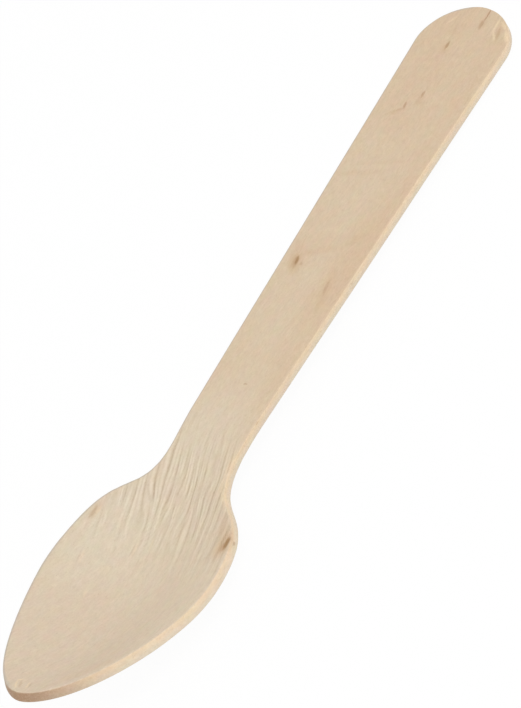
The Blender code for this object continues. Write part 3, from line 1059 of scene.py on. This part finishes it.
def set_world(stage):
    """Even light from all around, which the camera sees as plain white"""
    world = bpy.data.worlds.new("studio")
    graph = Graph(world)
    light = graph.add("ShaderNodeBackground", {"Color": WHITE, "Strength": stage.fill})
    white = graph.add("ShaderNodeBackground", {"Color": WHITE, "Strength": 1.0})
    white_to_camera(graph, 1.0, light, white, "ShaderNodeOutputWorld")
    bpy.context.scene.world = world


def direction(azimuth, elevation):
    """Unit vector towards an azimuth and an elevation"""
    flat = math.cos(elevation)
    return Vector((flat * math.cos(azimuth), flat * math.sin(azimuth), math.sin(elevation)))


def add_lamp(stage):
    """One large soft lamp, beside the spoon and above it, that shines on its middle"""
    data = bpy.data.lights.new("soft_lamp", "AREA")
    data.shape = "DISK"
    data.size = stage.lamp_size
    data.energy = stage.lamp_power
    lamp = put_in_scene("soft_lamp", data)
    way = direction(stage.lamp_azimuth, stage.lamp_elevation)
    lamp.location = way * stage.lamp_distance
    lamp.rotation_euler = way.to_track_quat("Z", "Y").to_euler()


def add_camera(stage):
    """The photograph's camera, which looks down on the spoon from one side.

    It stands back from its aim along its direction, and is turned about its own line by its roll.
    """
    data = bpy.data.cameras.new("camera")
    data.sensor_fit = "VERTICAL"
    data.sensor_height = SENSOR_HEIGHT
    data.lens = stage.focal_length
    data.clip_start = NEAREST
    data.clip_end = FARTHEST
    back = direction(stage.azimuth, stage.elevation)
    level = Vector((0.0, 0.0, 1.0)).cross(back).normalized()
    upright = back.cross(level)
    up = math.cos(stage.roll) * upright + math.sin(stage.roll) * level
    turn = Matrix((up.cross(back), up, back)).transposed().to_4x4()
    camera = put_in_scene("camera", data)
    camera.matrix_world = Matrix.Translation(Vector(stage.aim) + back * stage.distance) @ turn
    bpy.context.scene.camera = camera


class SPOON_OT_press_spoon(bpy.types.Operator):
    """Stamp and press the birch spoon, and lay it where the frame's spoon lies"""
    bl_idname = "spoon.press_spoon"
    bl_label = "Press spoon"

    def execute(self, context):
        blank = context.scene.spoon_blank
        points, looks, shape, rings = spoon_surface(blank, context.scene.spoon_press)
        if not np.isfinite(points).all():
            raise ValueError("the spoon's sizes don't make a surface")
        mesh = smooth_mesh(PIECE, lay_on_frame(points), spoon_faces(shape, rings))
        for name, values in looks.items():
            kind, field = ("FLOAT_VECTOR", "vector") if values.ndim == 2 else ("FLOAT", "value")
            attribute = mesh.attributes.new(name, kind, "POINT")
            attribute.data.foreach_set(field, values.astype(np.float32).ravel())
        mesh.materials.append(birch_material(blank, context.scene.spoon_wood))
        spoon = put_in_scene(PIECE, mesh)
        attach(spoon, "root")
        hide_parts(NODE)
        return {"FINISHED"}


class SPOON_OT_set_stage(bpy.types.Operator):
    """Set the pale table, the soft light and the photograph's camera"""
    bl_idname = "spoon.set_stage"
    bl_label = "Set stage"

    def execute(self, context):
        stage = context.scene.spoon_stage
        add_table(stage)
        set_world(stage)
        add_lamp(stage)
        add_camera(stage)
        context.scene.view_settings.view_transform = "Standard"
        return {"FINISHED"}


OPERATORS = (SPOON_OT_press_spoon, SPOON_OT_set_stage)
GROUPS = {
    "spoon_blank": ("Blank", BlankSizes),
    "spoon_press": ("Press", PressSizes),
    "spoon_wood": ("Wood", WoodLook),
    "spoon_stage": ("Stage", StageLook),
}


class SPOON_PT_sidebar(bpy.types.Panel):
    """Steps and sizes of the wooden spoon"""
    bl_idname = "SPOON_PT_sidebar"
    bl_label = "Wooden spoon"
    bl_space_type = "VIEW_3D"
    bl_region_type = "UI"
    bl_category = "Spoon"

    def draw(self, context):
        for step in OPERATORS:
            self.layout.operator(step.bl_idname)
        for name, (label, group) in GROUPS.items():
            box = self.layout.box()
            box.label(text=label)
            for size in group.__annotations__:
                box.prop(getattr(context.scene, name), size)


CLASSES = (BlankSizes, PressSizes, WoodLook, StageLook, *OPERATORS, SPOON_PT_sidebar)


def register():
    """Register the classes, and hang the sizes on the scene"""
    for kind in CLASSES:
        bpy.utils.register_class(kind)
    for name, (_, group) in GROUPS.items():
        setattr(bpy.types.Scene, name, PointerProperty(type=group))


def unregister():
    """Take the sizes off the scene, and unregister the classes"""
    for name in GROUPS:
        delattr(bpy.types.Scene, name)
    for kind in reversed(CLASSES):
        bpy.utils.unregister_class(kind)


def main():
    """Register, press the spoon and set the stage"""
    register()
    bpy.ops.spoon.press_spoon()
    bpy.ops.spoon.set_stage()


if __name__ == "__main__":
    main()
